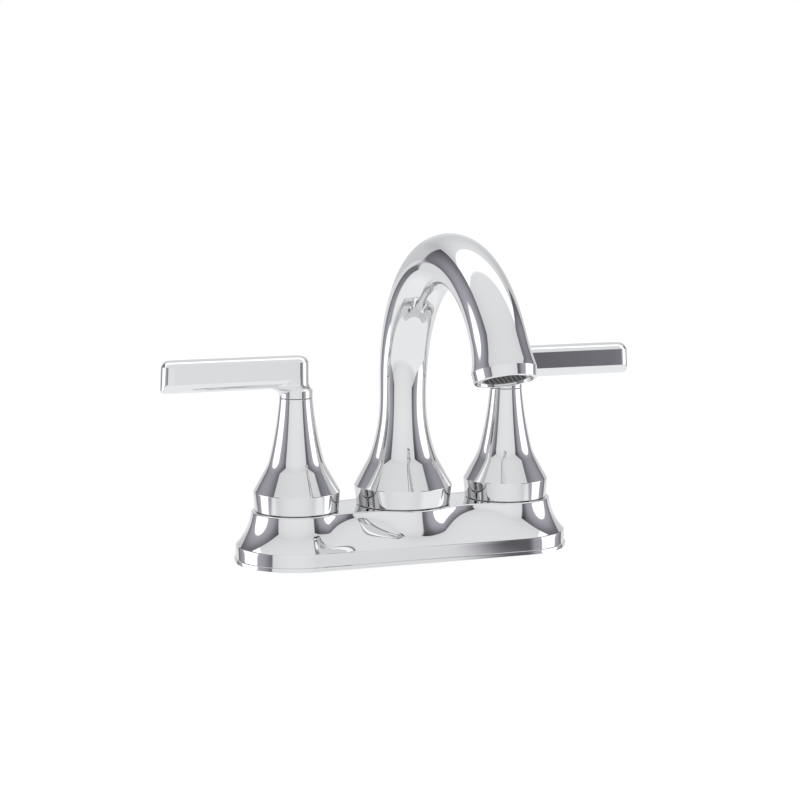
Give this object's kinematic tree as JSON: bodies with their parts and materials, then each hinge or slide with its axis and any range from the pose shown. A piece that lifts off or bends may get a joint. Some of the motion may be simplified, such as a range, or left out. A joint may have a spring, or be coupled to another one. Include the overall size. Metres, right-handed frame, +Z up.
{
  "type": "centerset bathroom faucet",
  "caption": "Chrome centerset bathroom faucet with a gooseneck spout and two straight lever handles on flared bells, on one scalloped deck plate.",
  "frame": {"origin": "centre of the deck plate's underside, on the deck's surface", "axes": "+Z up out of the deck; +X along the plate from the hot handle to the cold handle; the user and the spout's outlet are at -Y"},
  "size_m": [0.225, 0.1567, 0.2006],
  "materials": {
    "chrome": "mirror polished chrome plate",
    "brass": "machined",
    "rubber": "matte moulded",
    "ceramic": "lapped ceramic",
    "nylon": "moulded",
    "steel": "stamped",
    "plastic": "moulded"
  },
  "bodies": {
    "faucet": {"base_plate": "chrome", "deck_gasket": "rubber", "spout": "chrome", "spout_seat_ring": "nylon", "spout_nipple": "brass", "spout_locknut": "brass", "outlet_tee": "brass", "hot_crossover_tube": "brass", "cold_crossover_tube": "brass", "aerator_housing": "chrome", "aerator_screen": "nylon", "flow_regulator": "plastic", "aerator_washer": "rubber", "hot_bell": "chrome", "hot_bell_seat_ring": "nylon", "hot_glide_ring": "nylon", "hot_bonnet_nut": "brass", "hot_valve_body": "brass", "hot_seat_seal": "rubber", "hot_fixed_disc": "ceramic", "hot_cartridge_body": "brass", "hot_cartridge_o_ring": "rubber", "hot_mounting_washer": "steel", "hot_mounting_nut": "plastic", "cold_bell": "chrome", "cold_bell_seat_ring": "nylon", "cold_glide_ring": "nylon", "cold_bonnet_nut": "brass", "cold_valve_body": "brass", "cold_seat_seal": "rubber", "cold_fixed_disc": "ceramic", "cold_cartridge_body": "brass", "cold_cartridge_o_ring": "rubber", "cold_mounting_washer": "steel", "cold_mounting_nut": "plastic"},
    "hot_handle": {"hot_lever": "chrome", "hot_set_screw": "steel", "hot_stem": "brass", "hot_stem_o_ring": "rubber", "hot_turning_disc": "ceramic"},
    "cold_handle": {"cold_lever": "chrome", "cold_set_screw": "steel", "cold_stem": "brass", "cold_stem_o_ring": "rubber", "cold_turning_disc": "ceramic"}
  },
  "joints": [
    {"name": "hot_turn", "type": "hinge", "parent": "faucet", "child": "hot_handle", "pos_m": [-0.0508, 0, 0.075], "axis": [0, 0, 1], "range_deg": [0, 90]},
    {"name": "cold_turn", "type": "hinge", "parent": "faucet", "child": "cold_handle", "pos_m": [0.0508, 0, 0.075], "axis": [0, 0, -1], "range_deg": [0, 90]}
  ]
}
